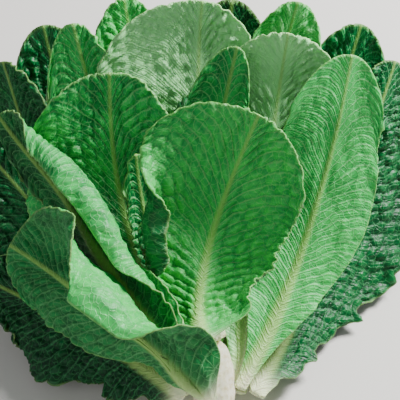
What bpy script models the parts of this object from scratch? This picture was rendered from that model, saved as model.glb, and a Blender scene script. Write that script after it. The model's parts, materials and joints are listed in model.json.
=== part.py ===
"""A head of romaine lettuce, lying back on the surface it rests on.

Units are metres and +Z is up. The head leans back, so its leaves spread in a plane that rises away from the
cut base. Places on the head are given in that leaning plane: u across it, v along it from the cut face to the
tips, and w out of it, up and towards the open front. The leaves are laid one over the other, from the lowest
at the back to the front one, and each is lifted just enough to clear those beneath it.
"""

from math import cos, pi, radians, sin

import bmesh
import bpy
import numpy as np
from mathutils import Vector

# Driving dimensions
MM = 0.001
LEAN = radians(42.0)  # how steeply the plane of the leaves rises from the ground
BLADE = 1.3 * MM  # thickness of the leaf blade
RIB = 2.8 * MM  # thickness of the midrib where it leaves the stem
RIB_REACH = 0.75  # share of the leaf's length along which the rib stands out
CLEARANCE = 1.6 * MM  # least gap between one leaf and the next, measured along w
BASE_ROOM = 0.35  # the gap by the stem, as a share of the clearance
BASE_REACH = 60.0 * MM  # the gap grows from there to the full clearance this far along
ROWS = 12  # faces along a leaf
COLUMNS = 8  # faces across a leaf
CELL = 1.2 * MM  # cell of the height map that the leaves are laid on
SAMPLES = 11  # points tested along each side of a face when a leaf is laid
STEM_RADIUS = 14.0 * MM
STEM_LENGTH = 42.0 * MM
WIDEST = 0.60  # share of the length at which a leaf is widest
BASE_SHARE = 0.10  # width of a leaf where it leaves the stem, as a share of its widest
FOOT_REACH = 0.13  # share of the length by which a leaf has spread to its foot
END_SHARE = 0.64  # width at the tip, as a share of the widest
ROUNDING = 0.24  # how far the corners of the tip are drawn back, as a share of the length
BEND_FROM = 0.35  # share of the length from which the rows bend back towards the margins
BEND_REACH = 0.88  # how round the rows bend, where 1 is a full half circle
LEAST_HALF = 4.0 * MM  # least half-width, at the base of small leaves
CURL_REACH = 0.3  # share of the length over which the margins' curl grows to its full angle
RELEASE_FROM = 0.66  # share of the length at which a curl begins to flatten
RELEASE_REACH = 0.28  # share of the length over which it flattens
ARC_STEPS = 24  # steps that add up the curved line from the midrib to a margin
STEEPEST = 0.35  # the steepest slope that a leaf's thickness is worked out for, as the cosine of its angle
SMALL = 25  # a leaf whose half-widths in mm are under this has a rib no thicker than its blade
RIB_SHARE = 0.14  # half-width of the rib, as a share of the leaf's half-width
STEM_STEPS = 24  # faces round the stem
SPREAD = 1.3  # how much closer the columns are at the rib
REACH = 0.36  # the height map covers this far on each side of the stem
TRIES = 8  # how often a leaf is lifted and tested again
ROUNDS = 60  # how often a lift is smoothed

# Colours, in linear RGB
GREENS = {
    "outer": (0.028, 0.130, 0.038),
    "middle": (0.060, 0.230, 0.050),
    "inner": (0.130, 0.360, 0.070),
}
STEM_COLOUR = (0.78, 0.76, 0.55)

# Each leaf, from the lowest to the front one. Base, middle and tip are points (u, v, w) of its midrib in mm.
# "wide" is the half-width left and right of the midrib in mm. "turn" is how far the face is turned to the right,
# in degrees, at the base and at the tip. "cup" lifts the two halves and "roll" curls their margins, in degrees,
# from the share "onset" of the length, and "release" flattens them towards the tip. "foot" is the width low down
# and "end" that at the tip, as shares of the widest. "nod" bends the tip forward, in mm.
BACK_LEAVES = (
    dict(name="back_leaf_right", tone="outer", base=(17, 1, -24), middle=(62, 110, -106), tip=(112, 272, -90),
         wide=(56, 58), turn=(-10, 5), cup=(6, 12), roll=(0, 10)),
    dict(name="back_leaf_left", tone="outer", base=(-17, 1, -24), middle=(-78, 102, -102), tip=(-128, 270, -84),
         wide=(60, 58), turn=(10, -10), cup=(12, 6), roll=(10, 0)),
    dict(name="back_leaf_centre", tone="outer", base=(0, 1, -29), middle=(6, 126, -98), tip=(14, 290, -84),
         wide=(58, 58), turn=(0, 0), cup=(4, 4), roll=(10, 10)),
    dict(name="side_leaf_right", tone="outer", base=(28, 2, -10), middle=(88, 112, -88), tip=(138, 244, -104),
         wide=(48, 66), turn=(-5, 35), cup=(4, 6), roll=(0, -10), foot=(0.3, 0.25)),
    dict(name="side_leaf_left", tone="outer", base=(-27, 2, -13), middle=(-104, 98, -84), tip=(-156, 242, -72),
         wide=(58, 58), turn=(10, -35), cup=(10, 10), roll=(0, 30)),
    dict(name="low_leaf_left", tone="outer", base=(-29, 3, 0), middle=(-98, 64, -52), tip=(-176, 132, -66),
         wide=(46, 50), turn=(10, 0), cup=(-5, 5), roll=(-10, 0)),
)
MIDDLE_LEAVES = (
    dict(name="upper_leaf_right", tone="middle", base=(7, 6, -23), middle=(28, 132, -92), tip=(62, 286, -70),
         wide=(50, 50), turn=(0, 5), cup=(5, 10), roll=(10, 30), nod=6),
    dict(name="upper_leaf_centre", tone="middle", base=(-7, 6, -23), middle=(-36, 132, -90), tip=(-66, 288, -70),
         wide=(52, 50), turn=(0, 0), cup=(10, 5), roll=(30, 20), nod=6),
    dict(name="upper_leaf_left", tone="middle", base=(-19, 6, -14), middle=(-64, 124, -78), tip=(-100, 268, -56),
         wide=(46, 44), turn=(10, -10), cup=(10, 14), roll=(0, 50), nod=6),
    dict(name="middle_leaf_left", tone="outer", base=(-23, 6, -3), middle=(-92, 88, -52), tip=(-168, 178, -50),
         wide=(54, 52), turn=(10, -10), cup=(5, 8), roll=(0, 10)),
    dict(name="front_low_leaf", tone="outer", base=(-20, 4, 7), middle=(-92, 46, -32), tip=(-172, 84, -50),
         wide=(46, 46), turn=(5, 0), cup=(-12, 2), roll=(-20, 0), foot=(0.4, 0.1)),
    dict(name="tall_leaf", tone="middle", base=(0, 11, -18), middle=(-12, 140, -82), tip=(-8, 280, -54),
         wide=(87, 62), turn=(0, 0), cup=(6, 6), roll=(10, 20), end=0.78, nod=5),
    dict(name="tall_leaf_right", tone="middle", base=(15, 9, -14), middle=(34, 132, -72), tip=(52, 258, -40),
         wide=(56, 60), turn=(-10, 0), cup=(8, 8), roll=(0, 10), end=0.8, nod=4),
    dict(name="smooth_leaf_right", tone="middle", base=(18, 7, -2), middle=(66, 112, -62), tip=(96, 240, -50),
         wide=(50, 40), turn=(-10, 10), cup=(6, 8), roll=(0, -20), end=0.75),
)
FRONT_LEAVES = (
    dict(name="pointed_leaf", tone="middle", base=(5, 44, -6), middle=(-4, 126, -74), tip=(16, 245, -52),
         wide=(58, 40), turn=(0, 0), cup=(10, 10), roll=(0, 0), end=0.45),
    dict(name="cupped_leaf_left", tone="middle", base=(-7, 44, -2), middle=(-58, 112, -64), tip=(-74, 230, -40),
         wide=(70, 60), turn=(10, 10), cup=(0, 24), roll=(-50, 20), end=0.85, nod=10),
    dict(name="heart_leaf_back", tone="inner", base=(-4, 46, 0), middle=(-40, 98, -58), tip=(-54, 170, -40),
         wide=(16, 22), turn=(0, 20), cup=(20, 20), roll=(10, 20)),
    dict(name="heart_leaf_right", tone="inner", base=(-2, 46, 2), middle=(-26, 86, -30), tip=(-48, 124, -28),
         wide=(17, 18), turn=(0, 10), cup=(20, 30), roll=(10, 30)),
    dict(name="front_leaf", tone="inner", base=(-8, 42, 4), middle=(-5, 102, -52), tip=(30, 196, -18),
         wide=(70, 58), turn=(0, -5), cup=(30, 12), roll=(140, 60), foot=(0.2, 0.6), onset=(0.1, 0), end=0.92,
         release=(1, 0.5), nod=4),
)
INNER_LEAVES = (
    dict(name="heart_leaf_left", tone="inner", base=(-7, 33, 6), middle=(-36, 68, -10), tip=(-64, 94, -16),
         wide=(15, 15), turn=(0, 0), cup=(30, 30), roll=(20, 20)),
    dict(name="curled_leaf_left", tone="middle", base=(-15, 12, 6), middle=(-80, 106, -36), tip=(-150, 198, -52),
         wide=(20, 56), turn=(-5, -10), cup=(-10, 70), roll=(-10, 100), onset=(0, 0.1)),
    dict(name="rolled_front_leaf", tone="middle", base=(-3, 3, 16), middle=(-66, 58, -6), tip=(-140, 108, -20),
         wide=(34, 74), turn=(-5, -10), cup=(-14, 95), roll=(-20, 75), foot=(0.10, 0.36), onset=(0, 0.12), end=0.85,
         release=(0, 0.75)),
)


def smooth(x):
    """A step from 0 to 1 with flat ends."""
    x = np.clip(x, 0.0, 1.0)
    return x * x * (3.0 - 2.0 * x)


def outline(p, foot, end):
    """Half-width at share p of the length, as a share of the widest. A wide foot spreads soon above the base."""
    spread = BASE_SHARE + (foot - BASE_SHARE) * smooth(p / FOOT_REACH) + (1.0 - foot) * smooth(p / WIDEST)
    past = np.clip((p - WIDEST) / (1.0 - WIDEST), 0.0, 1.0)
    return spread * (1.0 - (1.0 - end) * smooth(past))


def midrib(leaf, s):
    """Points of the midrib at shares s of its length, on the parabola through base, middle and tip."""
    base, middle, tip = (np.array(leaf[key]) * MM for key in ("base", "middle", "tip"))
    s = s[..., None]
    return base * (1 - s) * (1 - 2 * s) + middle * 4 * s * (1 - s) + tip * s * (2 * s - 1)


def half_width(leaf, p, t):
    """Half-width at share p of the length, on the side of the midrib that t lies on."""
    left_foot, right_foot = leaf.get("foot", (BASE_SHARE, BASE_SHARE))
    left, right = leaf["wide"]
    end = leaf.get("end", END_SHARE)
    wide = np.where(t > 0, right * outline(p, right_foot, end), left * outline(p, left_foot, end)) * MM
    return np.maximum(wide, LEAST_HALF)


def blade(leaf, p, t):
    """Points of the leaf at shares p along it and t across it, from -1 at the left margin to 1 at the right."""
    across = np.abs(t)
    past = np.clip((p - WIDEST) / (1.0 - WIDEST), 0.0, 1.0)
    bend = np.clip((p - BEND_FROM) / (1.0 - BEND_FROM), 0.0, 1.0) ** 2
    s = p - ROUNDING * bend * (1.0 - np.sqrt(1.0 - BEND_REACH * across**2))
    centre = midrib(leaf, s)
    step = 0.004
    along = midrib(leaf, s + step) - midrib(leaf, s - step)
    along /= np.linalg.norm(along, axis=-1, keepdims=True)
    turn = np.radians(leaf["turn"][0] + (leaf["turn"][1] - leaf["turn"][0]) * s)
    face = np.stack([np.sin(turn), 0 * turn, np.cos(turn)], axis=-1)
    face -= along * (face * along).sum(-1, keepdims=True)
    face /= np.linalg.norm(face, axis=-1, keepdims=True)
    side = np.cross(along, face)
    right = t > 0
    centre = centre + face * (leaf.get("nod", 0.0) * MM * past**2)[..., None]
    wide = half_width(leaf, p, t)
    cup = np.radians(np.where(right, leaf["cup"][1], leaf["cup"][0]))
    onset = np.where(right, *leaf.get("onset", (0.0, 0.0))[::-1])
    release = np.where(right, *leaf.get("release", (0.0, 0.0))[::-1]) * smooth((p - RELEASE_FROM) / RELEASE_REACH)
    grown = smooth((p - onset) / CURL_REACH)
    roll = np.radians(np.where(right, leaf["roll"][1], leaf["roll"][0])) * grown * (1 - release)
    cup = np.where(onset > 0, cup * grown, cup) * (1 - 0.6 * release)
    x, z = 0.0, 0.0
    for i in range(ARC_STEPS):
        share = across * (i + 0.5) / ARC_STEPS
        angle = cup * smooth(share / 0.5) + roll * smooth((share - 0.5) / 0.5)
        x = x + np.cos(angle) * across / ARC_STEPS
        z = z + np.sin(angle) * across / ARC_STEPS
    return centre + side * (np.sign(t) * x * wide)[..., None] + face * (z * wide)[..., None]


def leaf_grid(leaf, rows, columns):
    """Points of the leaf on a grid, and the leaf's thickness at each, with the columns closer at the rib."""
    p = np.linspace(0.0, 1.0, rows + 1)[:, None]
    t = np.linspace(-1.0, 1.0, columns + 1)[None, :]
    t = np.sign(t) * np.abs(t) ** SPREAD
    p, t = np.broadcast_arrays(p, t)
    rib = np.exp(-((t * outline(p, BASE_SHARE, END_SHARE) / RIB_SHARE) ** 2))
    rib = rib * np.clip(1.0 - p / RIB_REACH, 0.0, 1.0)
    stout = 0.0 if max(leaf["wide"]) < SMALL else RIB - BLADE
    return blade(leaf, p, t), BLADE + stout * rib


def between(values, a, b):
    """Values of a grid at shares a and b of each of its faces."""
    low = values[:-1, :-1] * (1 - b) + values[:-1, 1:] * b
    high = values[1:, :-1] * (1 - b) + values[1:, 1:] * b
    return low * (1 - a) + high * a


def slant(points):
    """Each point's surface height along w per unit of thickness, from the slope of the grid."""
    down, over = np.gradient(points, axis=(0, 1))
    normal = np.cross(down, over)
    length = np.linalg.norm(normal, axis=-1)
    return length / np.maximum(np.abs(normal[..., 2]), STEEPEST * length)


class Heap:
    """The height along w of what has been laid so far, over a map of cells in u and v."""

    def __init__(self, reach):
        self.count = int(2 * reach / CELL)
        self.reach = reach
        self.top = np.full((self.count, self.count), -1.0)

    def cells(self, points):
        """The map's cells under the points. Those past its edge count as on it."""
        places = (points[..., :2] + self.reach) / CELL
        return tuple(np.clip(places[..., i].astype(int), 1, self.count - 2) for i in (0, 1))

    def below(self, points):
        """The highest point already laid in each point's cell and the eight around it."""
        u, v = self.cells(points)
        nearby = [self.top[u + i, v + j] for i in (-1, 0, 1) for j in (-1, 0, 1)]
        return np.max(nearby, axis=0)

    def add(self, points, height):
        """Raises the map to the given height above each point."""
        np.maximum.at(self.top, self.cells(points), points[..., 2] + height)


def lay(heap, points, thickness):
    """Lifts a leaf clear of the heap with a smooth lift, and adds it to the heap."""
    half = thickness * slant(points) / 2
    shares = (np.arange(SAMPLES) + 0.5) / SAMPLES
    lift = np.zeros(points.shape[:2])
    for _ in range(TRIES):
        wanted = np.zeros_like(lift)
        for a in shares:
            for b in shares:
                lifted = points + lift[..., None] * np.array((0, 0, 1))
                spot = between(lifted, a, b)
                room = CLEARANCE * (BASE_ROOM + (1 - BASE_ROOM) * smooth(spot[..., 1] / BASE_REACH))
                short = heap.below(spot) + room + between(half[..., None], a, b)[..., 0] - spot[..., 2]
                for i in (0, 1):
                    for j in (0, 1):
                        part = wanted[i:lift.shape[0] - 1 + i, j:lift.shape[1] - 1 + j]
                        np.maximum(part, short, out=part)
        if wanted.max() <= 0:
            break
        least = lift + wanted
        for _ in range(ROUNDS):
            padded = np.pad(least, 1, mode="edge")
            padded[0] = 0.0
            mean = (padded[:-2, 1:-1] + padded[2:, 1:-1] + padded[1:-1, :-2] + padded[1:-1, 2:]) / 4
            least = np.maximum(lift + wanted, mean)
        lift = least
    points = points + lift[..., None] * np.array((0, 0, 1))
    for a in shares:
        for b in shares:
            heap.add(between(points, a, b), between(half[..., None], a, b)[..., 0])
    return points


def material(name, colour, roughness):
    """A plain finish of one colour."""
    made = bpy.data.materials.new(name)
    made.use_nodes = True
    shader = made.node_tree.nodes["Principled BSDF"]
    shader.inputs["Base Color"].default_value = (*colour, 1.0)
    shader.inputs["Roughness"].default_value = roughness
    made.diffuse_color = (*colour, 1.0)
    return made


def make_leaf(leaf, points, thickness, collection, parent):
    """An open sheet through the leaf's points, given its thickness by a Solidify modifier."""
    rows, columns = points.shape[0] - 1, points.shape[1] - 1
    mesh = bpy.data.meshes.new(leaf["name"])
    sheet = bmesh.new()
    bmesh.ops.create_grid(sheet, x_segments=columns, y_segments=rows, size=1.0)
    sheet.verts.ensure_lookup_table()
    places = [(round((v.co.y + 1) * rows / 2), round((v.co.x + 1) * columns / 2)) for v in sheet.verts]
    for vertex, place in zip(sheet.verts, places):
        vertex.co = points[place]
    bmesh.ops.recalc_face_normals(sheet, faces=sheet.faces)
    sheet.to_mesh(mesh)
    sheet.free()
    mesh.shade_smooth()
    made = bpy.data.objects.new(leaf["name"], mesh)
    group = made.vertex_groups.new(name="thickness")
    for index, place in enumerate(places):
        group.add([index], float(thickness[place] / RIB), "REPLACE")
    solid = made.modifiers.new("Thickness", "SOLIDIFY")
    solid.thickness = RIB
    solid.offset = 0.0
    solid.vertex_group = group.name
    mesh.materials.append(material(leaf["name"], GREENS[leaf["tone"]], 0.45))
    collection.objects.link(made)
    made.parent = parent
    return made


def stem_profile():
    """Radius and height of the stem from the middle of the cut face to the middle of its top."""
    shoulder = [(STEM_RADIUS * (1.0 + 0.04 * sin(pi * i / 4)), STEM_LENGTH * 0.06 * i) for i in range(5)]
    turns = [pi / 2 * i / 7 for i in range(1, 7)]
    taper = [(STEM_RADIUS * cos(a) ** 0.8, STEM_LENGTH * (0.24 + 0.76 * sin(a))) for a in turns]
    return [(0.0, 0.0), *shoulder, *taper, (0.0, STEM_LENGTH)]


def make_stem(collection, parent):
    """The short stem, turned about v, with the flat cut face at v = 0."""
    mesh = bpy.data.meshes.new("stem")
    profile = bmesh.new()
    places = [profile.verts.new((radius, 0.0, height)) for radius, height in reversed(stem_profile())]
    for first, second in zip(places, places[1:]):
        profile.edges.new((first, second))
    profile.to_mesh(mesh)
    profile.free()
    made = bpy.data.objects.new("stem", mesh)
    turned = made.modifiers.new("Turn", "SCREW")
    turned.steps = STEM_STEPS
    turned.render_steps = STEM_STEPS
    turned.use_merge_vertices = True
    turned.merge_threshold = 0.00001
    turned.use_smooth_shade = True
    mesh.materials.append(material("stem", STEM_COLOUR, 0.5))
    collection.objects.link(made)
    made.parent = parent
    made.rotation_euler = (radians(-90), 0.0, 0.0)
    return made


def stem_ring():
    """Points round the stem, where it stands before it is lifted."""
    turns = np.linspace(0.0, 2.0 * pi, 49)
    rings = [(r, h) for r, h in stem_profile() if r > 0]
    v = np.linspace(0, STEM_LENGTH, 60)
    radius = np.interp(v, [h for r, h in rings], [r for r, h in rings])
    return np.stack([radius[:, None] * np.sin(turns), v[:, None] + 0 * turns, radius[:, None] * np.cos(turns)], -1)


def lay_stem(heap, stem):
    """Lifts the stem clear of the leaves behind it, adds it to the heap, and returns its lift."""
    ring = stem_ring()
    lift = max(0.0, float((heap.below(ring) + CLEARANCE - ring[..., 2]).max()))
    ring[..., 2] += lift
    heap.add(ring, 0.0)
    stem.location = (0.0, 0.0, lift)
    return lift


def lowest_middle(objects):
    """The middle of the underside of the box around the objects, as they are evaluated."""
    bpy.context.view_layer.update()
    graph = bpy.context.evaluated_depsgraph_get()
    corners = []
    for thing in objects:
        shape = thing.evaluated_get(graph)
        corners += [shape.matrix_world @ vertex.co for vertex in shape.data.vertices]
    low = [min(c[i] for c in corners) for i in range(3)]
    high = [max(c[i] for c in corners) for i in range(3)]
    return Vector(((low[0] + high[0]) / 2, (low[1] + high[1]) / 2, low[2]))


def main():
    for thing in list(bpy.data.objects):
        bpy.data.objects.remove(thing, do_unlink=True)
    collection = bpy.data.collections.new("romaine_lettuce")
    bpy.context.scene.collection.children.link(collection)
    head = bpy.data.objects.new("head", None)
    collection.objects.link(head)
    head.rotation_euler = (LEAN, 0.0, 0.0)
    heap = Heap(REACH)
    made = []
    for leaf in BACK_LEAVES + MIDDLE_LEAVES:
        points, thickness = leaf_grid(leaf, ROWS, COLUMNS)
        made.append(make_leaf(leaf, lay(heap, points, thickness), thickness, collection, head))
    stem = make_stem(collection, head)
    lift = lay_stem(heap, stem)
    made.append(stem)
    for leaf in FRONT_LEAVES + INNER_LEAVES:
        points, thickness = leaf_grid(leaf, ROWS, COLUMNS)
        points = points + np.array((0.0, 0.0, lift))
        made.append(make_leaf(leaf, lay(heap, points, thickness), thickness, collection, head))
    head.location = -lowest_middle(made)


main()
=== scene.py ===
"""A head of romaine lettuce: its leaves and stem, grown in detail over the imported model.

Metres, +Z up. The head leans back, and places on it are given in the leaning plane of its leaves: u across,
v along from the cut face to the tips, and w out of the plane, up and towards the open front.
"""

import json
from math import cos, pi, radians, sin

import bmesh
import bpy
import numpy as np
from bpy.props import FloatProperty, FloatVectorProperty, PointerProperty
from mathutils import Matrix, Vector


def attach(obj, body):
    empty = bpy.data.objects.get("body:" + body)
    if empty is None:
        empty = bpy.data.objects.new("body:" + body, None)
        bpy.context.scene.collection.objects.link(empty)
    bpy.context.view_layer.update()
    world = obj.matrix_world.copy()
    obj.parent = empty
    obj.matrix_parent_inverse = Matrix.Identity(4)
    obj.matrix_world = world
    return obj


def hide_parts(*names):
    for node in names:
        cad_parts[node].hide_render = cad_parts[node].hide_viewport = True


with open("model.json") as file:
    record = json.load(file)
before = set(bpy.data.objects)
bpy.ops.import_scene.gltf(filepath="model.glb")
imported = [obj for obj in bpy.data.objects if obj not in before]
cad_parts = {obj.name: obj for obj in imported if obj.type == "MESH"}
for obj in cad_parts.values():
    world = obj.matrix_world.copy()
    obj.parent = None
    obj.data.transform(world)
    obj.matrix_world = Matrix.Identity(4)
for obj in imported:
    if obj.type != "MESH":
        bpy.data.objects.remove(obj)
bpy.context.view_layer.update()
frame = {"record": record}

bl_info = {
    "name": "Romaine Lettuce",
    "version": (1, 0, 0),
    "blender": (4, 5, 0),
    "location": "View3D > Sidebar > Lettuce",
    "description": "Grows the leaves and the stem of a romaine lettuce over its packed model",
    "category": "Add Mesh",
}

# The plan of the head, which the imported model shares
MM = 0.001
LEAN = radians(42.0)  # how steeply the plane of the leaves rises from the ground
PLAN_BLADE = 1.3 * MM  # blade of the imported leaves, which sets how far each leaf lies above the last
PLAN_RIB = 2.8 * MM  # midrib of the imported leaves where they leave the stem
PLAN_RIB_SHARE = 0.14  # half-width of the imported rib, as a share of the leaf's half-width
RIB_REACH = 0.75  # share of the leaf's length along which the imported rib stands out
CLEARANCE = 1.6 * MM  # least gap between one packed leaf and the next, measured along w
BASE_ROOM = 0.35  # the gap by the stem, as a share of the clearance
BASE_REACH = 60.0 * MM  # the gap grows from there to the full clearance this far along
ROWS = 12  # faces along a packed leaf
COLUMNS = 8  # faces across it
CELL = 1.2 * MM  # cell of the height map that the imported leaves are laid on
SAMPLES = 11  # points tested along each side of a face when a packed leaf is laid
TRIES = 8  # how often a packed leaf is lifted and tested again
ROUNDS = 60  # how often its lift is smoothed
STEM_RADIUS = 14.0 * MM
STEM_LENGTH = 42.0 * MM
WIDEST = 0.60  # share of the length at which a leaf is widest
BASE_SHARE = 0.10  # width of a leaf where it leaves the stem, as a share of its widest
FOOT_REACH = 0.13  # share of the length by which a leaf has spread to its foot
END_SHARE = 0.64  # width at the tip, as a share of the widest
ROUNDING = 0.24  # how far the corners of the tip are drawn back, as a share of the length
BEND_FROM = 0.35  # share of the length from which the rows bend back towards the margins
BEND_REACH = 0.88  # how round the rows bend, where 1 is a full half circle
LEAST_HALF = 4.0 * MM  # least half-width, at the base of small leaves
CURL_REACH = 0.3  # share of the length over which the margins' curl grows to its full angle
RELEASE_FROM = 0.66  # share of the length at which a curl begins to flatten
RELEASE_REACH = 0.28  # share of the length over which it flattens
ARC_STEPS = 24  # steps that add up the curved line from the midrib to a margin
STEEPEST = 0.35  # the steepest slope that a leaf's thickness is worked out for, as the cosine of its angle
SMALL = 25  # a packed leaf whose half-widths in mm are under this has a rib no thicker than its blade
PLAN_SPREAD = 1.3  # how much closer the columns are at the rib
HEAP_REACH = 0.36  # the height maps cover this far on each side of the stem

# The detail of the leaves
FINE_ROWS = 140  # faces along a finished leaf
FINE_COLUMNS = 88  # faces across it
HIDDEN_SHARE = 0.6  # leaves that lie mostly under others have this share of the rows and columns
FINE_SPREAD = 1.15  # how much closer the fine columns are at the rib
FINE_CELL = 1.0 * MM  # cell of the height map that the finished leaves are laid on
FINE_GAP = 0.35 * MM  # least gap between one finished leaf and the next
FINE_SAMPLES = 2  # points tested along each side of a face when a finished leaf is laid
FINE_TRIES = 5  # how often it is lifted and tested again
FINE_ROUNDS = 240  # how often its lift is smoothed
LAID_RIB = 2.5 * MM  # a rib counts as no thicker than this when its leaf is laid, so a stout one can press in

# Each leaf, from the lowest to the front one. Base, middle and tip are points (u, v, w) of its midrib in mm.
# "wide" is the half-width left and right of the midrib in mm. "turn" is how far the face is turned to the right,
# in degrees, at the base and at the tip. "cup" lifts the two halves and "roll" curls their margins, in degrees.
# "foot" is the width low down, left and right, and "end" that at the tip, as shares of the widest. "nod" bends the
# tip forward, in mm. "blister" is the height of the puckers and "ruffle" that of the margin's waves, in mm.
# The lightness value sets how light a leaf's colours are. In part it is the leaf's own tone. In part it is painted
# light, which brightens the lit tall leaves, and painted shade, which darkens the heart leaves in the hollow.
BACK_LEAVES = (
    dict(name="back_leaf_right", tone="outer", base=(17, 1, -24), middle=(62, 110, -106), tip=(112, 272, -90),
         wide=(56, 58), turn=(-10, 5), cup=(6, 12), roll=(0, 10), blister=2.6, ruffle=5.0, lightness_and_painted_light=0.6),
    dict(name="back_leaf_left", tone="outer", base=(-17, 1, -24), middle=(-78, 102, -102), tip=(-128, 270, -84),
         wide=(60, 58), turn=(10, -10), cup=(12, 6), roll=(10, 0), blister=3.0, ruffle=5.0, lightness_and_painted_light=0.4),
    dict(name="back_leaf_centre", tone="outer", base=(0, 1, -29), middle=(6, 126, -98), tip=(14, 290, -84),
         wide=(58, 58), turn=(0, 0), cup=(4, 4), roll=(10, 10), blister=2.4, ruffle=4.0, lightness_and_painted_light=0.2, hidden=True),
    dict(name="side_leaf_right", tone="outer", base=(28, 2, -10), middle=(88, 112, -88), tip=(138, 244, -104),
         wide=(48, 66), turn=(-5, 35), cup=(4, 6), roll=(0, -10), foot=(0.3, 0.25), blister=3.0, ruffle=4.0,
         lightness_and_painted_light=0.25, teeth=3.0),
    dict(name="side_leaf_left", tone="outer", base=(-27, 2, -13), middle=(-104, 98, -84), tip=(-156, 242, -72),
         wide=(58, 58), turn=(10, -35), cup=(10, 10), roll=(0, 30), blister=3.0, ruffle=4.0, lightness_and_painted_light=0.3),
    dict(name="low_leaf_left", tone="outer", base=(-29, 3, 0), middle=(-98, 64, -52), tip=(-176, 132, -66),
         wide=(46, 50), turn=(10, 0), cup=(-5, 5), roll=(-10, 0), blister=3.2, ruffle=4.0, lightness_and_painted_light=0.1, teeth=2.0),
)
MIDDLE_LEAVES = (
    dict(name="upper_leaf_right", tone="middle", base=(7, 6, -23), middle=(28, 132, -92), tip=(62, 286, -70),
         wide=(50, 50), turn=(0, 5), cup=(5, 10), roll=(10, 30), nod=6, blister=2.6, ruffle=5.0, lightness_and_painted_light=1.1),
    dict(name="upper_leaf_centre", tone="middle", base=(-7, 6, -23), middle=(-36, 132, -90), tip=(-66, 288, -70),
         wide=(52, 50), turn=(0, 0), cup=(10, 5), roll=(30, 20), nod=6, blister=2.6, ruffle=5.0, lightness_and_painted_light=0.9),
    dict(name="upper_leaf_left", tone="middle", base=(-19, 6, -14), middle=(-64, 124, -78), tip=(-100, 268, -56),
         wide=(46, 44), turn=(10, -10), cup=(10, 14), roll=(0, 50), nod=6, blister=2.4, ruffle=5.0, lightness_and_painted_light=0.7),
    dict(name="middle_leaf_left", tone="outer", base=(-23, 6, -3), middle=(-92, 88, -52), tip=(-168, 178, -50),
         wide=(54, 52), turn=(10, -10), cup=(5, 8), roll=(0, 10), blister=3.2, ruffle=4.0, lightness_and_painted_light=0.25),
    dict(name="front_low_leaf", tone="outer", base=(-20, 4, 7), middle=(-92, 46, -32), tip=(-172, 84, -50),
         wide=(46, 46), turn=(5, 0), cup=(-12, 2), roll=(-20, 0), foot=(0.4, 0.1), blister=3.2, ruffle=4.0,
         lightness_and_painted_light=0.0, teeth=3.0),
    dict(name="tall_leaf", tone="middle", base=(0, 11, -18), middle=(-12, 140, -82), tip=(-8, 280, -54),
         wide=(87, 62), turn=(0, 0), cup=(6, 6), roll=(10, 20), end=0.78, nod=5, blister=3.0, ruffle=4.0,
         lightness_and_painted_light=1.8),
    dict(name="tall_leaf_right", tone="middle", base=(15, 9, -14), middle=(34, 132, -72), tip=(52, 258, -40),
         wide=(56, 60), turn=(-10, 0), cup=(8, 8), roll=(0, 10), end=0.8, nod=4, blister=2.4, ruffle=3.0,
         lightness_and_painted_light=1.8),
    dict(name="smooth_leaf_right", tone="middle", base=(18, 7, -2), middle=(66, 112, -62), tip=(96, 240, -50),
         wide=(50, 40), turn=(-10, 10), cup=(6, 8), roll=(0, -20), end=0.75, blister=0.7, folds=0.35, ruffle=1.5,
         lightness_and_painted_light=0.7),
)
FRONT_LEAVES = (
    dict(name="pointed_leaf", tone="middle", base=(5, 44, -6), middle=(-4, 126, -74), tip=(16, 245, -52),
         wide=(58, 40), turn=(0, 0), cup=(10, 10), roll=(0, 0), end=0.45, blister=2.0, ruffle=2.5, lightness_and_painted_light=0.5),
    dict(name="cupped_leaf_left", tone="middle", base=(-7, 44, -2), middle=(-58, 112, -64), tip=(-74, 230, -40),
         wide=(70, 60), turn=(10, 10), cup=(0, 24), roll=(-50, 20), end=0.85, nod=10, blister=3.0, ruffle=2.5,
         lightness_and_painted_light=0.4),
    dict(name="heart_leaf_back", tone="inner", base=(-4, 46, 0), middle=(-40, 98, -58), tip=(-54, 170, -40),
         wide=(16, 22), turn=(0, 20), cup=(20, 20), roll=(10, 20), blister=1.2, ruffle=1.5, lightness_and_painted_light=0.0),
    dict(name="heart_leaf_right", tone="inner", base=(-2, 46, 2), middle=(-26, 86, -30), tip=(-48, 124, -28),
         wide=(17, 18), turn=(0, 10), cup=(20, 30), roll=(10, 30), blister=0.8, ruffle=1.0, lightness_and_painted_light=0.1),
    dict(name="front_leaf", tone="inner", base=(-8, 42, 4), middle=(-5, 102, -52), tip=(30, 196, -18),
         wide=(70, 58), turn=(0, -5), cup=(30, 12), roll=(140, 60), foot=(0.2, 0.6), onset=(0.1, 0), end=0.92,
         release=(1, 0.5), nod=4, blister=2.3, folds=2.0, ruffle=1.4, lightness_and_painted_light=0.55),
)
INNER_LEAVES = (
    dict(name="heart_leaf_left", tone="inner", base=(-7, 33, 6), middle=(-36, 68, -10), tip=(-64, 94, -16),
         wide=(15, 15), turn=(0, 0), cup=(30, 30), roll=(20, 20), blister=0.8, ruffle=1.0, lightness_and_painted_light=0.1),
    dict(name="curled_leaf_left", tone="middle", base=(-15, 12, 6), middle=(-80, 106, -36), tip=(-150, 198, -52),
         wide=(20, 56), turn=(-5, -10), cup=(-10, 70), roll=(-10, 100), onset=(0, 0.1), flip=True, blister=1.2,
         ruffle=1.5, lightness_and_painted_light=0.5),
    dict(name="rolled_front_leaf", tone="middle", base=(-3, 3, 16), middle=(-66, 58, -6), tip=(-140, 108, -20),
         wide=(34, 74), turn=(-5, -10), cup=(-14, 95), roll=(-20, 75), foot=(0.10, 0.36), onset=(0, 0.12), end=0.85,
         release=(0, 0.75), flip=True, blister=1.4, ruffle=1.5, lightness_and_painted_light=0.7),
)


def smooth(x):
    """A step from 0 to 1 with flat ends."""
    x = np.clip(x, 0.0, 1.0)
    return x * x * (3.0 - 2.0 * x)


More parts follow.
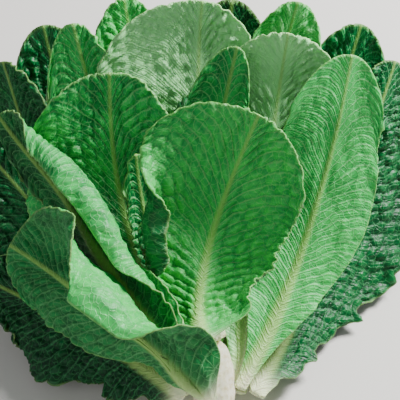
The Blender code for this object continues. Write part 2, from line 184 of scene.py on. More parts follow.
def lattice(i, j, seed):
    """A repeatable number from 0 to 1 for each whole-number place."""
    mixed = (i * 374761393 + j * 668265263 + seed * 974634777) & 0xFFFFFFFF
    mixed = ((mixed ^ (mixed >> 13)) * 1274126177) & 0xFFFFFFFF
    return ((mixed ^ (mixed >> 16)) & 0xFFFF) / 65535.0


def waves(x, y, seed):
    """Smooth random waves about one unit apart, from -1 to 1."""
    i, j = np.floor(x).astype(np.int64), np.floor(y).astype(np.int64)
    a, b = smooth(x - i), smooth(y - j)
    near = lattice(i, j, seed) * (1 - a) + lattice(i + 1, j, seed) * a
    far = lattice(i, j + 1, seed) * (1 - a) + lattice(i + 1, j + 1, seed) * a
    return 2.0 * (near * (1 - b) + far * b) - 1.0


def domes(x, y, seed):
    """Rounded domes about one unit wide with creases between them, from 0 in a crease to 1 on top."""
    i, j = np.floor(x).astype(np.int64), np.floor(y).astype(np.int64)
    nearest = np.full(np.shape(x), 9.0)
    second = nearest.copy()
    for a in (-1, 0, 1):
        for b in (-1, 0, 1):
            u = i + a + 0.5 + 0.55 * (lattice(i + a, j + b, seed) - 0.5)
            v = j + b + 0.5 + 0.8 * (lattice(i + a, j + b, seed + 7) - 0.5)
            away = np.hypot(x - u, y - v)
            second = np.minimum(second, np.maximum(nearest, away))
            nearest = np.minimum(nearest, away)
    return smooth((second - nearest) / 0.7)


def outline(p, foot, end):
    """Half-width at share p of the length, as a share of the widest. A wide foot spreads soon above the base."""
    spread = BASE_SHARE + (foot - BASE_SHARE) * smooth(p / FOOT_REACH) + (1.0 - foot) * smooth(p / WIDEST)
    past = np.clip((p - WIDEST) / (1.0 - WIDEST), 0.0, 1.0)
    return spread * (1.0 - (1.0 - end) * smooth(past))


def midrib(leaf, s):
    """Points of the midrib at shares s of its length, on the parabola through base, middle and tip."""
    base, middle, tip = (np.array(leaf[key]) * MM for key in ("base", "middle", "tip"))
    s = s[..., None]
    return base * (1 - s) * (1 - 2 * s) + middle * 4 * s * (1 - s) + tip * s * (2 * s - 1)


def half_width(leaf, p, t):
    """Half-width at share p of the length, on the side of the midrib that t lies on."""
    left_foot, right_foot = leaf.get("foot", (BASE_SHARE, BASE_SHARE))
    left, right = leaf["wide"]
    end = leaf.get("end", END_SHARE)
    wide = np.where(t > 0, right * outline(p, right_foot, end), left * outline(p, left_foot, end)) * MM
    return np.maximum(wide, LEAST_HALF)


def blade(leaf, p, t, widen=1.0):
    """Points of the leaf at shares p along it and t across it, from -1 at the left margin to 1 at the right."""
    across = np.abs(t)
    past = np.clip((p - WIDEST) / (1.0 - WIDEST), 0.0, 1.0)
    bend = np.clip((p - BEND_FROM) / (1.0 - BEND_FROM), 0.0, 1.0) ** 2
    s = p - ROUNDING * bend * (1.0 - np.sqrt(1.0 - BEND_REACH * across**2))
    centre = midrib(leaf, s)
    step = 0.004
    along = midrib(leaf, s + step) - midrib(leaf, s - step)
    along /= np.linalg.norm(along, axis=-1, keepdims=True)
    turn = np.radians(leaf["turn"][0] + (leaf["turn"][1] - leaf["turn"][0]) * s)
    face = np.stack([np.sin(turn), 0 * turn, np.cos(turn)], axis=-1)
    face -= along * (face * along).sum(-1, keepdims=True)
    face /= np.linalg.norm(face, axis=-1, keepdims=True)
    side = np.cross(along, face)
    right = t > 0
    centre = centre + face * (leaf.get("nod", 0.0) * MM * past**2)[..., None]
    wide = half_width(leaf, p, t) * widen
    cup = np.radians(np.where(right, leaf["cup"][1], leaf["cup"][0]))
    onset = np.where(right, *leaf.get("onset", (0.0, 0.0))[::-1])
    release = np.where(right, *leaf.get("release", (0.0, 0.0))[::-1]) * smooth((p - RELEASE_FROM) / RELEASE_REACH)
    grown = smooth((p - onset) / CURL_REACH)
    roll = np.radians(np.where(right, leaf["roll"][1], leaf["roll"][0])) * grown * (1 - release)
    cup = np.where(onset > 0, cup * grown, cup) * (1 - 0.6 * release)
    x, z = 0.0, 0.0
    for i in range(ARC_STEPS):
        share = across * (i + 0.5) / ARC_STEPS
        angle = cup * smooth(share / 0.5) + roll * smooth((share - 0.5) / 0.5)
        x = x + np.cos(angle) * across / ARC_STEPS
        z = z + np.sin(angle) * across / ARC_STEPS
    return centre + side * (np.sign(t) * x * wide)[..., None] + face * (z * wide)[..., None]


def shares(rows, columns, power):
    """Shares p along and t across a leaf, on a grid whose columns are closer at the rib."""
    p = np.linspace(0.0, 1.0, rows + 1)[:, None]
    t = np.linspace(-1.0, 1.0, columns + 1)[None, :]
    return np.broadcast_arrays(p, np.sign(t) * np.abs(t) ** power)


def plan_leaf(leaf):
    """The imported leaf's points and thickness before it is laid."""
    p, t = shares(ROWS, COLUMNS, PLAN_SPREAD)
    rib = np.exp(-((t * outline(p, BASE_SHARE, END_SHARE) / PLAN_RIB_SHARE) ** 2))
    rib = rib * np.clip(1.0 - p / RIB_REACH, 0.0, 1.0)
    stout = 0.0 if max(leaf["wide"]) < SMALL else PLAN_RIB - PLAN_BLADE
    return blade(leaf, p, t), PLAN_BLADE + stout * rib


def between(values, a, b):
    """Values of a grid at shares a and b of each of its faces."""
    low = values[:-1, :-1] * (1 - b) + values[:-1, 1:] * b
    high = values[1:, :-1] * (1 - b) + values[1:, 1:] * b
    return low * (1 - a) + high * a


def slant(points):
    """Each point's surface height along w per unit of thickness, from the slope of the grid."""
    down, over = np.gradient(points, axis=(0, 1))
    normal = np.cross(down, over)
    length = np.linalg.norm(normal, axis=-1)
    return length / np.maximum(np.abs(normal[..., 2]), STEEPEST * length)


class Heap:
    """The height along w of what has been laid so far, over a map of cells in u and v."""

    def __init__(self, reach, cell):
        self.cell = cell
        self.count = int(2 * reach / cell)
        self.reach = reach
        self.top = np.full((self.count, self.count), -1.0)

    def cells(self, points):
        """The map's cells under the points. Those past its edge count as on it."""
        return tuple(
            np.clip(((points[..., i] + self.reach) / self.cell).astype(int), 1, self.count - 2) for i in (0, 1)
        )

    def below(self, points):
        """The highest point already laid in each point's cell and the eight around it."""
        u, v = self.cells(points)
        nearby = [self.top[u + i, v + j] for i in (-1, 0, 1) for j in (-1, 0, 1)]
        return np.max(nearby, axis=0)

    def add(self, points, height):
        """Raises the map to the given height above each point."""
        np.maximum.at(self.top, self.cells(points), points[..., 2] + height)


def lay(heap, points, thickness, gap, samples, tries, rounds):
    """Lifts a leaf clear of the heap with a smooth lift, adds it to the heap, and returns the lift."""
    half = thickness * slant(points) / 2
    spots = (np.arange(samples) + 0.5) / samples
    up = np.array((0.0, 0.0, 1.0))
    lift = np.zeros(points.shape[:2])
    for _ in range(tries):
        wanted = np.zeros_like(lift)
        for a in spots:
            for b in spots:
                spot = between(points + lift[..., None] * up, a, b)
                room = gap * (BASE_ROOM + (1 - BASE_ROOM) * smooth(spot[..., 1] / BASE_REACH))
                short = heap.below(spot) + room + between(half[..., None], a, b)[..., 0] - spot[..., 2]
                for i in (0, 1):
                    for j in (0, 1):
                        part = wanted[i:lift.shape[0] - 1 + i, j:lift.shape[1] - 1 + j]
                        np.maximum(part, short, out=part)
        if wanted.max() <= 0:
            break
        least = lift + wanted
        for _ in range(rounds):
            padded = np.pad(least, 1, mode="edge")
            padded[0] = 0.0
            mean = (padded[:-2, 1:-1] + padded[2:, 1:-1] + padded[1:-1, :-2] + padded[1:-1, 2:]) / 4
            least = np.maximum(lift + wanted, mean)
        lift = least
    laid = points + lift[..., None] * up
    for a in spots:
        for b in spots:
            heap.add(between(laid, a, b), between(half[..., None], a, b)[..., 0])
    return lift


def stem_profile():
    """Radius and height of the stem from the middle of the cut face to the middle of its top."""
    shoulder = [(STEM_RADIUS * (1.0 + 0.04 * sin(pi * i / 4)), STEM_LENGTH * 0.06 * i) for i in range(5)]
    turns = [pi / 2 * i / 7 for i in range(1, 7)]
    taper = [(STEM_RADIUS * cos(a) ** 0.8, STEM_LENGTH * (0.24 + 0.76 * sin(a))) for a in turns]
    return [(0.0, 0.0), *shoulder, *taper, (0.0, STEM_LENGTH)]


def stem_ring():
    """Points round the stem, where it stands before it is lifted."""
    turns = np.linspace(0.0, 2.0 * pi, 49)
    rings = [(r, h) for r, h in stem_profile() if r > 0]
    v = np.linspace(0, STEM_LENGTH, 60)
    radius = np.interp(v, [h for r, h in rings], [r for r, h in rings])
    return np.stack([radius[:, None] * np.sin(turns), v[:, None] + 0 * turns, radius[:, None] * np.cos(turns)], -1)


def lay_stem(heap):
    """The stem's lift clear of the leaves behind it. The stem is added to the heap there."""
    ring = stem_ring()
    lift = max(0.0, float((heap.below(ring) + CLEARANCE - ring[..., 2]).max()))
    ring[..., 2] += lift
    heap.add(ring, 0.0)
    return lift


def plan_head():
    """The lift of each packed leaf over its grid, and the stem's, all along w."""
    heap = Heap(HEAP_REACH, CELL)
    lifts = {}
    for leaf in BACK_LEAVES + MIDDLE_LEAVES:
        lifts[leaf["name"]] = lay(heap, *plan_leaf(leaf), CLEARANCE, SAMPLES, TRIES, ROUNDS)
    stem = lay_stem(heap)
    for leaf in FRONT_LEAVES + INNER_LEAVES:
        points, thickness = plan_leaf(leaf)
        points = points + np.array((0.0, 0.0, stem))
        lifts[leaf["name"]] = stem + lay(heap, points, thickness, CLEARANCE, SAMPLES, TRIES, ROUNDS)
    return lifts, stem


LIFTS, STEM_LIFT = plan_head()
OUT_OF_PLANE = Vector((0.0, -sin(LEAN), cos(LEAN)))
CUT_FACE = next(mount for mount in frame["record"]["mounts"] if mount["name"] == "cut_face")
HEAD_ORIGIN = Vector(CUT_FACE["pos_m"]) - OUT_OF_PLANE * STEM_LIFT
HEAD_PLACE = Matrix.Translation(HEAD_ORIGIN) @ Matrix.Rotation(LEAN, 4, "X")
FINE_HEAP = Heap(HEAP_REACH, FINE_CELL)


def along_curve(values, at, axis):
    """Values of a coarse grid at fractional places along one axis, on smooth curves through them."""
    values = np.moveaxis(values, axis, 0)
    padded = np.concatenate([2 * values[:1] - values[1:2], values, 2 * values[-1:] - values[-2:-1]])
    i = np.clip(np.floor(at).astype(int), 0, len(values) - 2)
    f = (at - i)[:, None]
    a, b, c, d = (padded[i + k] for k in range(4))
    made = b + 0.5 * f * (c - a + f * (2 * a - 5 * b + 4 * c - d + f * (3 * (b - c) + d - a)))
    return np.moveaxis(made, 0, axis)


def facing(points):
    """Unit normals of the grid on the inner face of the leaf."""
    down, over = np.gradient(points, axis=(0, 1))
    normal = np.cross(over, down)
    return normal / np.maximum(np.linalg.norm(normal, axis=-1, keepdims=True), 1e-12)


def linear(hexcode):
    """An sRGB hex colour as the linear values that shaders take."""
    parts = [int(hexcode[i:i + 2], 16) / 255 for i in (1, 3, 5)]
    return tuple(c / 12.92 if c <= 0.04045 else ((c + 0.055) / 1.055) ** 2.4 for c in parts)


def grow(leaf, seed, style):
    """The finished leaf on a fine grid: its points, its thickness, and what its material reads."""
    share = HIDDEN_SHARE if leaf.get("hidden") else 1.0
    rows, columns = int(FINE_ROWS * share), int(FINE_COLUMNS * share / 2) * 2
    p, t = shares(rows, columns, FINE_SPREAD)
    length = np.linalg.norm(np.diff(midrib(leaf, np.linspace(0, 1, 60)), axis=0), axis=1).sum()
    y = p * length / MM
    # The margin waves in and out, and the lower leaves' margins are toothed
    edge_wave = waves(y / 16 + 9 * np.sign(t), 0 * y, seed)
    edge_wave = edge_wave + 0.5 * waves(y / 6 + 5 * np.sign(t), 0 * y, seed + 1)
    teeth = 1.8 * leaf.get("teeth", 0.0) * waves(y / 7 + 3 * np.sign(t), 0 * y, seed + 2) * smooth(1.7 - 2 * p)
    wide = half_width(leaf, p, t) / MM
    widen = 1.0 + (0.9 * edge_wave + teeth) * smooth((np.abs(t) - 0.6) / 0.4) / np.maximum(wide, 15.0)
    points = blade(leaf, p, t, widen)
    plan_p = p[:, 0] * ROWS
    plan_t = (np.sign(t[0]) * np.abs(t[0]) ** (1 / PLAN_SPREAD) + 1) * COLUMNS / 2
    lift = along_curve(along_curve(LIFTS[leaf["name"]], plan_p, 0), plan_t, 1)
    points = points + lift[..., None] * np.array((0.0, 0.0, 1.0))

    # Side veins climb away from the rib in lanes, and the blade puffs up into domes between them
    x = t * wide
    out = np.abs(x)
    margin = wide * (1 - np.abs(t))
    climb = 13.0 * (1 - np.exp(-out / 9.0)) + (0.05 + 0.75 * smooth((p - 0.25) / 0.6)) * out
    drift = 3.0 * waves(x / 22, y / 26, seed + 3) + 1.3 * waves(x / 8, y / 9, seed + 12)
    phase = (y - climb + drift) / (style.vein_spacing / MM)
    lanes = phase + 0.5 * (t > 0)
    side_seed = seed * 10
    cell = domes(lanes, out / 10 + 40 * (t > 0), side_seed)
    big = 0.65 + 0.5 * waves(x / 15, y / 17, seed + 14)
    small = domes(2.3 * lanes, out / 4.2 + 40 * (t > 0), side_seed + 2)
    away = smooth((out - 3.0 * (1 - p) - 1.0) / 6.0)
    fade = smooth((p - 0.05) / 0.22)
    height = 1.5 * leaf["blister"] * (0.85 * cell * big + 0.35 * small - 0.5) * away
    ridge = np.cos(2 * pi * lanes) * smooth(0.5 + 0.9 * waves(x / 26, y / 22, seed + 15))
    height -= 1.1 * leaf.get("folds", 1.0) * ridge * np.exp(-out / 30) * smooth((out - 2.0) / 4.0)
    height += 4.5 * waves(x / 42, y / 55, seed + 4) + 2.2 * waves(x / 20, y / 26, seed + 5) * away
    near_edge = smooth((np.abs(t) - 0.45) / 0.55) ** 1.5
    swing = waves(y / 17 + 31 * (t > 0), out / 60, seed + 6)
    swing = swing + 0.5 * waves(y / 8 + 17 * (t > 0), out / 30, seed + 8)
    height += leaf["ruffle"] * near_edge * swing
    height = height * fade * MM
    points = points + facing(points) * height[..., None]

    # The rib is widest and stoutest at the base, and thins out to the tip
    rib_half = (1.3 + 6.5 * (1 - p) ** 1.7) * (0.75 + 0.25 * smooth(p / 0.1))
    rib = np.exp(-((x / rib_half) ** 2))
    stout = (0.12 + 0.88 * (1 - p) ** 1.4) * smooth((p + 0.04) / 0.12)
    stout = stout * (style.rib_thickness - style.blade_thickness)
    thickness = style.blade_thickness + stout * rib
    thickness = np.minimum(thickness, style.blade_thickness + 1.2 * margin * MM)
    pressed = np.minimum(thickness, LAID_RIB)
    lift = lay(FINE_HEAP, points, pressed, FINE_GAP, FINE_SAMPLES, FINE_TRIES, FINE_ROUNDS)
    points = points + lift[..., None] * np.array((0.0, 0.0, 1.0))
    pale = np.exp(-((p / 0.05) ** 2)) + 0.6 * np.exp(-p / 0.13) * np.exp(-((out / 5.0) ** 2))
    # What the material reads: the rib, the margin, the height of the puckers and the pale base by the stem. The
    # material turns the pucker height into painted shade in the creases and painted light on the domes.
    marks = np.stack(
        [
            np.exp(-((x / (0.85 * rib_half)) ** 4)) * (1 - 0.35 * p),
            np.exp(-np.minimum(margin, 0.9 * (1 - p) * length / MM) / 0.45),
            np.clip(0.75 * cell + 0.30 * small, 0, 1),
            np.clip(pale, 0, 1),
        ],
        axis=-1,
    )
    return points, thickness, marks, x, y, out, phase


def make_leaf(leaf, seed, style, materials):
    """Builds a grid sheet, moves it onto the leaf's points, and gives it a blade's thickness."""
    points, thickness, marks, x, y, out, phase = grow(leaf, seed, style)
    rows, columns = points.shape[0] - 1, points.shape[1] - 1
    sheet = bmesh.new()
    bmesh.ops.create_grid(sheet, x_segments=columns, y_segments=rows, size=1.0)
    mesh = bpy.data.meshes.new(leaf["name"] + "_grown")
    sheet.to_mesh(mesh)
    sheet.free()
    flat = np.empty(len(mesh.vertices) * 3)
    mesh.vertices.foreach_get("co", flat)
    flat = flat.reshape(-1, 3)
    row = np.rint((flat[:, 1] + 1) * rows / 2).astype(int)
    column = np.rint((flat[:, 0] + 1) * columns / 2).astype(int)
    place = np.array(HEAD_PLACE)
    world = points[row, column] @ place[:3, :3].T + place[:3, 3]
    mesh.vertices.foreach_set("co", world.astype(np.float32).ravel())

    corners = np.empty(len(mesh.loops), dtype=np.int32)
    mesh.loops.foreach_get("vertex_index", corners)
    middle = column[corners].reshape(-1, 4).mean(axis=1).repeat(4)
    on_right = middle > columns / 2
    surface = mesh.uv_layers.new(name="surface")
    surface.data.foreach_set("uv", np.stack([x[row, column][corners], y[row, column][corners]], -1).ravel())
    veins = mesh.uv_layers.new(name="veins")
    lane = phase[row, column][corners] + 0.5 * on_right
    veins.data.foreach_set("uv", np.stack([lane, out[row, column][corners]], -1).ravel())
    tint = mesh.color_attributes.new("marks", "FLOAT_COLOR", "POINT")
    tint.data.foreach_set("color", marks[row, column].astype(np.float32).ravel())
    mesh.shade_smooth()

    made = bpy.data.objects.new(leaf["name"] + "_grown", mesh)
    bpy.context.scene.collection.objects.link(made)
    group = made.vertex_groups.new(name="thickness")
    thickest = float(thickness.max())
    for index, share in enumerate(thickness[row, column] / thickest):
        group.add([index], float(share), "REPLACE")
    solid = made.modifiers.new("Blade", "SOLIDIFY")
    solid.thickness = thickest
    solid.offset = 0.0
    solid.vertex_group = group.name
    solid.material_offset = 1
    for material in materials[::-1] if leaf.get("flip") else materials:
        mesh.materials.append(material)
    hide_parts(leaf["name"])
    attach(made, "root")
    return made


def add(tree, kind, inputs=(), **settings):
    """Adds a node with its settings, and fills its inputs with values or with links from other nodes' sockets."""
    node = tree.nodes.new(kind)
    for name, value in settings.items():
        setattr(node, name, value)
    for key, value in dict(inputs).items():
        if isinstance(value, bpy.types.NodeSocket):
            tree.links.new(value, node.inputs[key])
        else:
            node.inputs[key].default_value = value
    return node


def ramp(tree, value, low, high):
    """A smooth rise from 0 to 1 as the value goes from low to high."""
    inputs = {"Value": value, "From Min": low, "From Max": high}
    return add(tree, "ShaderNodeMapRange", inputs, interpolation_type="SMOOTHSTEP").outputs[0]


def reckon(tree, first, second, operation="MULTIPLY"):
    """Two values multiplied, or put together by another operation."""
    return add(tree, "ShaderNodeMath", {0: first, 1: second}, operation=operation).outputs[0]


def blend_colour(tree, share, first, second):
    """The first colour with a share of the second mixed into it."""
    node = tree.nodes.new("ShaderNodeMix")
    node.data_type = "RGBA"
    for socket, value in ((node.inputs[0], share), (node.inputs[6], first), (node.inputs[7], second)):
        if isinstance(value, bpy.types.NodeSocket):
            tree.links.new(value, socket)
        else:
            socket.default_value = value
    return node.outputs[2]


def leaf_material(name, dark, light, vein, lightness_and_painted_light, matt, style):
    """Lettuce blade, for one face of a leaf. It gives the eye a waxy green skin with soft sparkles, pale branching
    veins, a yellow-green rib, painted shade that darkens the creases between the puckers and painted light on
    their domes. The leaf's lightness adds more painted light or shade."""
    material = bpy.data.materials.new(name)
    material.use_nodes = True
    tree = material.node_tree
    shader = tree.nodes["Principled BSDF"]
    surface = add(tree, "ShaderNodeUVMap", uv_map="surface").outputs[0]
    lanes = add(tree, "ShaderNodeSeparateXYZ", {0: add(tree, "ShaderNodeUVMap", uv_map="veins").outputs[0]})
    marks = add(tree, "ShaderNodeAttribute", attribute_name="marks", attribute_type="GEOMETRY")
    parts = add(tree, "ShaderNodeSeparateColor", {0: marks.outputs["Color"]})
    rib, edge, crease_shade_and_dome_light, pale = parts.outputs[0], parts.outputs[1], parts.outputs[2], marks.outputs["Alpha"]

    broad = add(tree, "ShaderNodeTexNoise", {"Vector": surface, "Scale": 1 / 26, "Detail": 3.0}).outputs[0]
    mottle = add(tree, "ShaderNodeTexNoise", {"Vector": surface, "Scale": 1 / 3.2, "Detail": 3.0}).outputs[0]
    off_inputs = {0: mottle, 1: 0.16, 2: lanes.outputs[0]}
    off = add(tree, "ShaderNodeMath", off_inputs, operation="MULTIPLY_ADD").outputs[0]
    apart = add(tree, "ShaderNodeMath", {0: off, 1: 0.5}, operation="PINGPONG").outputs[0]
    spacing = style.vein_spacing / MM
    line = ramp(tree, reckon(tree, apart, spacing), 1.0, 0.15)
    reach = ramp(tree, lanes.outputs[1], 75.0, 2.0)
    line = reckon(tree, line, reach)
    warp_inputs = {"Vector": surface, "Scale": 1 / 5.0}
    warp = add(tree, "ShaderNodeTexNoise", warp_inputs, noise_dimensions="2D").outputs["Color"]
    moved = add(tree, "ShaderNodeVectorMath", {0: warp, 1: (2.5, 2.5, 0.0), 2: surface}, operation="MULTIPLY_ADD")
    net_inputs = {"Vector": moved.outputs[0], "Scale": 1 / 4.6}
    cracks = add(
        tree, "ShaderNodeTexVoronoi", net_inputs, feature="DISTANCE_TO_EDGE", voronoi_dimensions="2D"
    )
    net = ramp(tree, cracks.outputs[0], 0.10, 0.0)

    # The colour's lightness is made of broad random patches, the painted shade of the creases and painted light of
    # the domes, and the leaf's lightness, in which painted light and shade are mixed with its own tone
    body = reckon(tree, broad, 0.9, "MULTIPLY")
    body = add(tree, "ShaderNodeMath", {0: crease_shade_and_dome_light, 1: 0.45, 2: body}, operation="MULTIPLY_ADD").outputs[0]
    body = reckon(tree, body, lightness_and_painted_light - 0.55, "ADD")
    colour = blend_colour(tree, ramp(tree, body, 0.0, 1.0), (*linear(dark), 1), (*linear(light), 1))
    # Past full lightness the colour runs on to the vein colour: painted light on the brightly lit tall leaves
    colour = blend_colour(tree, ramp(tree, body, 1.0, 1.7), colour, (*linear(vein), 1))
    colour = blend_colour(tree, reckon(tree, net, 0.28), colour, (*linear(vein), 1))
    colour = blend_colour(tree, reckon(tree, line, 0.40), colour, (*linear(vein), 1))
    colour = blend_colour(tree, reckon(tree, rib, 0.8), colour, (*style.rib_colour, 1))
    colour = blend_colour(tree, pale, colour, (*style.base_colour, 1))
    colour = blend_colour(tree, reckon(tree, edge, 0.35), colour, (*linear("#B4D87E"), 1))
    tree.links.new(colour, shader.inputs["Base Color"])
    duller = 0.14 * matt
    gloss_inputs = {"Value": mottle, "To Min": 0.28 + duller, "To Max": 0.52 + duller}
    gloss = add(tree, "ShaderNodeMapRange", gloss_inputs).outputs[0]
    tree.links.new(gloss, shader.inputs["Roughness"])
    fine = add(tree, "ShaderNodeMath", {0: reckon(tree, off, 4.0), 1: 0.5}, operation="PINGPONG").outputs[0]
    relief = add(tree, "ShaderNodeMath", {0: fine, 1: 0.7, 2: reckon(tree, net, 0.35)}, operation="MULTIPLY_ADD")
    relief = add(tree, "ShaderNodeMath", {0: line, 1: 0.9, 2: relief.outputs[0]}, operation="MULTIPLY_ADD")
    relief = add(tree, "ShaderNodeMath", {0: mottle, 1: 0.35, 2: relief.outputs[0]}, operation="MULTIPLY_ADD")
    bump_inputs = {"Height": relief.outputs[0], "Strength": 0.7, "Distance": 0.7 * MM}
    bump = add(tree, "ShaderNodeBump", bump_inputs)
    tree.links.new(bump.outputs[0], shader.inputs["Normal"])
    shader.inputs["IOR"].default_value = 1.42
    shader.inputs["Specular IOR Level"].default_value = 0.38
    shader.inputs["Subsurface Weight"].default_value = 0.15
    shader.inputs["Subsurface Radius"].default_value = (0.5, 1.0, 0.2)
    shader.inputs["Subsurface Scale"].default_value = 2.0 * MM
    return material


# Each tone's colours: in the painted shade of the creases, in the painted light on the domes, and along the veins,
# which the brightest leaves also run on to as painted light
TONES = {
    "outer": ("#003C1C", "#06803C", "#58BE74"),
    "middle": ("#007034", "#3CC95C", "#A4F4A2"),
    "inner": ("#04843C", "#46C95C", "#9CEC94"),
}
# The outer faces' colours are a duller green than the inner faces', and also darker as painted shade
OUTER_FACE = ("#00461F", "#249046", "#7CCB80")


def leaf_group(leaves, start):
    """Grows these leaves, in order, with seeds that count up from the start."""
    style = bpy.context.scene.lettuce_leaves
    for seed, leaf in enumerate(leaves, start):
        dark, light, vein = TONES[leaf["tone"]]
        face = leaf_material(leaf["name"] + "_inner_face", dark, light, vein, leaf["lightness_and_painted_light"], 0.0, style)
        # The outer face is set less light than the inner one, as painted shade
        dark, light, vein = OUTER_FACE
        back = leaf_material(leaf["name"] + "_outer_face", dark, light, vein, leaf["lightness_and_painted_light"] - 0.2, 1.0, style)
        make_leaf(leaf, seed, style, [face, back])


class LettuceLeaves(bpy.types.PropertyGroup):
    """The blade, the rib and the veins of every leaf."""

    blade_thickness: FloatProperty(
        name="Blade", description="Thickness of the leaf blade", default=0.9 * MM, unit="LENGTH"
    )
    rib_thickness: FloatProperty(
        name="Rib", description="Thickness of the midrib at the base", default=9.0 * MM, unit="LENGTH"
    )
    vein_spacing: FloatProperty(
        name="Vein spacing", description="Distance from one side vein to the next", default=7.5 * MM, unit="LENGTH"
    )
    rib_colour: FloatVectorProperty(
        name="Rib colour", description="Colour of the midrib", default=linear("#A2D264"), subtype="COLOR",
        min=0, max=1,
    )
    base_colour: FloatVectorProperty(
        name="Base colour", description="Colour low down by the stem", default=linear("#E6EEC0"), subtype="COLOR",
        min=0, max=1,
    )


class LettuceStage(bpy.types.PropertyGroup):
    """The floor, the light and the view."""

    floor_colour: FloatVectorProperty(
        name="Floor", description="Colour of the floor", default=linear("#E9E6E0"), subtype="COLOR", min=0, max=1
    )
    key_power: FloatProperty(name="Key light", description="Power of the main light in watts", default=52.0)
    fill_power: FloatProperty(name="Fill light", description="Power of the fill light in watts", default=4.5)
    view_height: FloatProperty(
        name="View elevation", description="Elevation of the camera", default=radians(48), subtype="ANGLE"
    )
    view_distance: FloatProperty(
        name="View distance", description="Distance of the camera from the head", default=1.15, unit="LENGTH"
    )


class OBJECT_OT_lettuce_back_leaves(bpy.types.Operator):
    """Grow the outer leaves that spread behind the head and on the table"""

    bl_idname = "object.lettuce_back_leaves"
    bl_label = "Back Leaves"

    def execute(self, context):
        leaf_group(BACK_LEAVES, 1)
        return {"FINISHED"}


class OBJECT_OT_lettuce_middle_leaves(bpy.types.Operator):
    """Grow the leaves that stand fanned between the outer ones and the heart"""

    bl_idname = "object.lettuce_middle_leaves"
    bl_label = "Middle Leaves"

    def execute(self, context):
        leaf_group(MIDDLE_LEAVES, 11)
        return {"FINISHED"}


class OBJECT_OT_lettuce_stem(bpy.types.Operator):
    """Turn the short stem with its cut face"""

    bl_idname = "object.lettuce_stem"
    bl_label = "Stem"

    def execute(self, context):
        make_stem(context.scene.lettuce_leaves)
        return {"FINISHED"}


class OBJECT_OT_lettuce_front_leaves(bpy.types.Operator):
    """Grow the front leaves, which spring from the top of the stem, with the small heart leaves between them"""

    bl_idname = "object.lettuce_front_leaves"
    bl_label = "Front Leaves"

    def execute(self, context):
        leaf_group(FRONT_LEAVES, 21)
        return {"FINISHED"}


class OBJECT_OT_lettuce_inner_leaves(bpy.types.Operator):
    """Grow the small heart leaves and the two rolled leaves that wrap the front"""

    bl_idname = "object.lettuce_inner_leaves"
    bl_label = "Inner Leaves"

    def execute(self, context):
        leaf_group(INNER_LEAVES, 31)
        return {"FINISHED"}


class OBJECT_OT_lettuce_stage(bpy.types.Operator):
    """Set the pale floor, the soft lights and the camera"""

    bl_idname = "object.lettuce_stage"
    bl_label = "Stage"

    def execute(self, context):
        make_stage(context.scene.lettuce_stage)
        return {"FINISHED"}


class VIEW3D_PT_lettuce(bpy.types.Panel):
    """Lists the parts of the head"""

    bl_label = "Romaine Lettuce"
    bl_idname = "VIEW3D_PT_lettuce"
    bl_space_type = "VIEW_3D"
    bl_region_type = "UI"
    bl_category = "Lettuce"

    def draw(self, context):
        for group in (context.scene.lettuce_leaves, context.scene.lettuce_stage):
            for name in group.__annotations__:
                self.layout.prop(group, name)
        for operator in OPERATORS:
            self.layout.operator(operator.bl_idname)


def make_stem(style):
    """The stem, spun about v, with shallow ridges where leaves were pulled off."""
    sheet = bmesh.new()
    places = [sheet.verts.new((radius, height, 0.0)) for radius, height in stem_profile()]
    edges = [sheet.edges.new(pair) for pair in zip(places, places[1:])]
    bmesh.ops.subdivide_edges(sheet, edges=edges, cuts=3)
    bmesh.ops.spin(
        sheet, geom=sheet.verts[:] + sheet.edges[:], cent=(0, 0, 0), axis=(0, 1, 0), angle=2 * pi, steps=72,
        use_merge=True,
    )
    bmesh.ops.remove_doubles(sheet, verts=sheet.verts, dist=0.05 * MM)
    bmesh.ops.recalc_face_normals(sheet, faces=sheet.faces)
    for vertex in sheet.verts:
        x, y, z = vertex.co
        ridge = float(waves(np.array(x * 900), np.array(y * 260 + z * 300), 5))
        if y > 0.5 * MM:
            vertex.co += vertex.normal * 0.5 * MM * ridge
    sheet.transform(HEAD_PLACE @ Matrix.Translation((0, 0, STEM_LIFT)))
    mesh = bpy.data.meshes.new("stem_grown")
    sheet.to_mesh(mesh)
    sheet.free()
    mesh.shade_smooth()
    made = bpy.data.objects.new("stem_grown", mesh)
    bpy.context.scene.collection.objects.link(made)
    mesh.materials.append(stem_material(style))
    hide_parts("stem")
    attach(made, "root")
    ring = stem_ring()
    ring[..., 2] += STEM_LIFT
    FINE_HEAP.add(ring, 0.0)
    return made


def stem_material(style):
    """Cut lettuce stem. It gives the eye dense, moist cream flesh that is a little browner in patches."""
    material = bpy.data.materials.new("lettuce_stem_flesh")
    material.use_nodes = True
    tree = material.node_tree
    shader = tree.nodes["Principled BSDF"]
    place = add(tree, "ShaderNodeTexCoord").outputs["Object"]
    mottle = add(tree, "ShaderNodeTexNoise", {"Vector": place, "Scale": 320.0, "Detail": 4.0}).outputs[0]
    colour = blend_colour(tree, ramp(tree, mottle, 0.35, 0.75), (*linear("#F1EED6"), 1), (*linear("#D9CFA0"), 1))
    tree.links.new(colour, shader.inputs["Base Color"])
    bump = add(tree, "ShaderNodeBump", {"Height": mottle, "Strength": 0.4, "Distance": 0.5 * MM})
    tree.links.new(bump.outputs[0], shader.inputs["Normal"])
    shader.inputs["Roughness"].default_value = 0.45
    shader.inputs["Subsurface Weight"].default_value = 0.3
    shader.inputs["Subsurface Radius"].default_value = (1.0, 0.8, 0.4)
    shader.inputs["Subsurface Scale"].default_value = 3.0 * MM
    return material


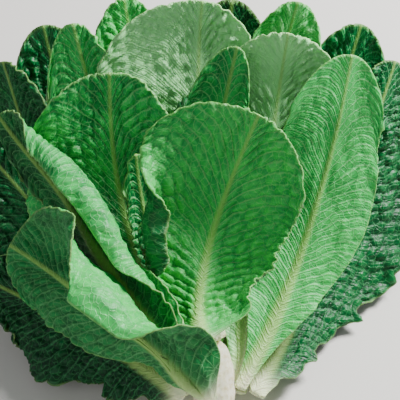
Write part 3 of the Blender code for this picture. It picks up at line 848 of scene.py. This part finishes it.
def make_stage(stage):
    """The floor, a soft key and fill light, a dim sky, and the camera that looks square at the leaning head."""
    sheet = bmesh.new()
    bmesh.ops.create_grid(sheet, x_segments=1, y_segments=1, size=2.5)
    mesh = bpy.data.meshes.new("floor")
    sheet.to_mesh(mesh)
    sheet.free()
    floor = bpy.data.objects.new("floor", mesh)
    bpy.context.scene.collection.objects.link(floor)
    # Gives the eye a plain, pale, matt ground that takes soft shadows
    material = bpy.data.materials.new("matt_studio_floor")
    material.use_nodes = True
    shader = material.node_tree.nodes["Principled BSDF"]
    shader.inputs["Base Color"].default_value = (*stage.floor_colour, 1)
    shader.inputs["Roughness"].default_value = 0.8
    mesh.materials.append(material)

    world = bpy.data.worlds.new("studio")
    world.use_nodes = True
    world.node_tree.nodes["Background"].inputs["Color"].default_value = (0.92, 0.96, 1.0, 1.0)
    world.node_tree.nodes["Background"].inputs["Strength"].default_value = 0.24
    bpy.context.scene.world = world
    aim = HEAD_PLACE @ (Vector((-9.8, 138.6, -30.0)) * MM)
    for name, place, size, power in (
        ("key", Vector((0.85, 0.50, 1.05)), 0.45, stage.key_power),
        ("fill", Vector((-0.9, -1.0, 0.9)), 1.2, stage.fill_power),
    ):
        light = bpy.data.lights.new(name, "AREA")
        light.size = size
        light.energy = power
        lamp = bpy.data.objects.new(name, light)
        bpy.context.scene.collection.objects.link(lamp)
        lamp.location = aim + place
        lamp.rotation_euler = (-place).to_track_quat("-Z", "Y").to_euler()
    camera = bpy.data.cameras.new("camera")
    camera.lens = 144.0
    viewer = bpy.data.objects.new("camera", camera)
    bpy.context.scene.collection.objects.link(viewer)
    back = Vector((0.0, -cos(stage.view_height), sin(stage.view_height)))
    viewer.location = aim + back * stage.view_distance
    viewer.rotation_euler = (-back).to_track_quat("-Z", "Y").to_euler()
    bpy.context.scene.camera = viewer


OPERATORS = (
    OBJECT_OT_lettuce_back_leaves,
    OBJECT_OT_lettuce_middle_leaves,
    OBJECT_OT_lettuce_stem,
    OBJECT_OT_lettuce_front_leaves,
    OBJECT_OT_lettuce_inner_leaves,
    OBJECT_OT_lettuce_stage,
)
CLASSES = (LettuceLeaves, LettuceStage, *OPERATORS, VIEW3D_PT_lettuce)


def register():
    for cls in CLASSES:
        bpy.utils.register_class(cls)
    bpy.types.Scene.lettuce_leaves = PointerProperty(type=LettuceLeaves)
    bpy.types.Scene.lettuce_stage = PointerProperty(type=LettuceStage)


def unregister():
    del bpy.types.Scene.lettuce_stage
    del bpy.types.Scene.lettuce_leaves
    for cls in reversed(CLASSES):
        bpy.utils.unregister_class(cls)


def main():
    register()
    bpy.ops.object.lettuce_back_leaves()
    bpy.ops.object.lettuce_middle_leaves()
    bpy.ops.object.lettuce_stem()
    bpy.ops.object.lettuce_front_leaves()
    bpy.ops.object.lettuce_inner_leaves()
    bpy.ops.object.lettuce_stage()


if __name__ == "__main__":
    main()
